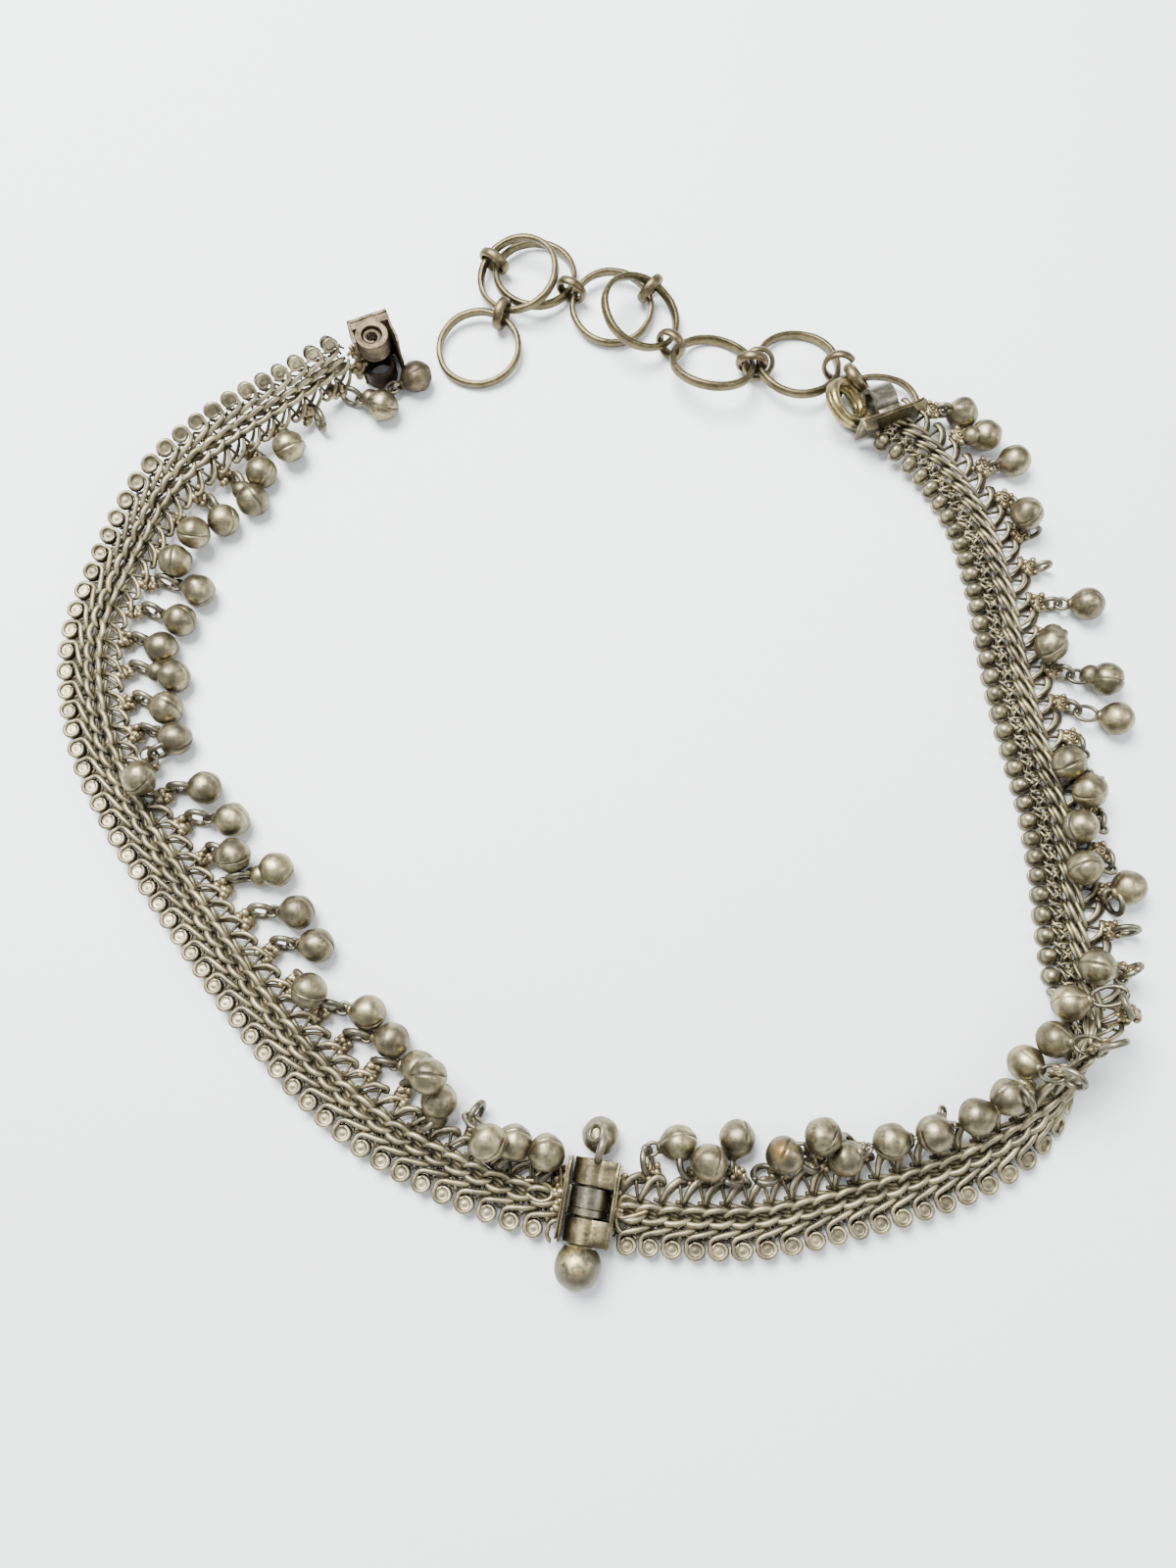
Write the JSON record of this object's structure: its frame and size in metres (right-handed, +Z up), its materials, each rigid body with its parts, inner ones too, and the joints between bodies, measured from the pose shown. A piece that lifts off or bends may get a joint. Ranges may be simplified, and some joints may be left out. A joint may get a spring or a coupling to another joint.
{
  "type": "waist belt",
  "caption": "Metal waist belt: woven wire bands hung with small round bells, a pin clasp in front and a chain of brass rings behind, lying open.",
  "frame": {"origin": "centre of the belt's footprint, on the surface it lies on", "axes": "+Z up from the surface, +Y from the front clasp towards the ring chain, +X to the right seen from above with the front clasp nearest"},
  "size_m": [0.2342, 0.2391, 0.0193],
  "materials": {
    "band_silver": "aged nickel-silver wire, dark in its hollows",
    "bell_silver": "aged nickel-silver sheet, worn bright on its high places",
    "clasp_silver": "dull grey-brown nickel-silver with solder stains",
    "pin_silver": "nickel-silver, rubbed smooth",
    "ring_brass": "olive tarnished brass, bright on the rims",
    "link_brass": "brown tarnished brass"
  },
  "bodies": {
    "root": {"chain_left": "band_silver", "chain_right": "band_silver", "bells_left_1": "bell_silver", "bells_left_2": "bell_silver", "bells_left_3": "bell_silver", "bells_left_4": "bell_silver", "bells_left_5": "bell_silver", "bells_right_1": "bell_silver", "bells_right_2": "bell_silver", "bells_right_3": "bell_silver", "bells_right_4": "bell_silver", "bells_right_5": "bell_silver", "clasp_leaf_left": "clasp_silver", "clasp_leaf_right": "clasp_silver", "clasp_bell": "bell_silver", "end_clasp_left": "clasp_silver", "end_bell": "bell_silver", "end_clasp_right": "clasp_silver", "ring_1": "ring_brass", "ring_2": "ring_brass", "ring_3": "ring_brass", "ring_4": "ring_brass", "ring_5": "ring_brass", "ring_6": "ring_brass", "ring_7": "ring_brass", "ring_8": "ring_brass", "link_1": "link_brass", "link_2": "link_brass", "link_3": "link_brass", "link_4": "link_brass", "link_5": "link_brass", "link_6": "link_brass", "link_7": "link_brass", "link_8": "link_brass", "link_9": "link_brass", "heavy_link": "link_brass"},
    "clasp_pin": {"clasp_pin": "pin_silver"}
  },
  "joints": [
    {"name": "clasp_pin_slide", "type": "slide", "parent": "root", "child": "clasp_pin", "axis": [-0.1736, -0.9848, 0], "range_m": [0, 0.022]}
  ]
}
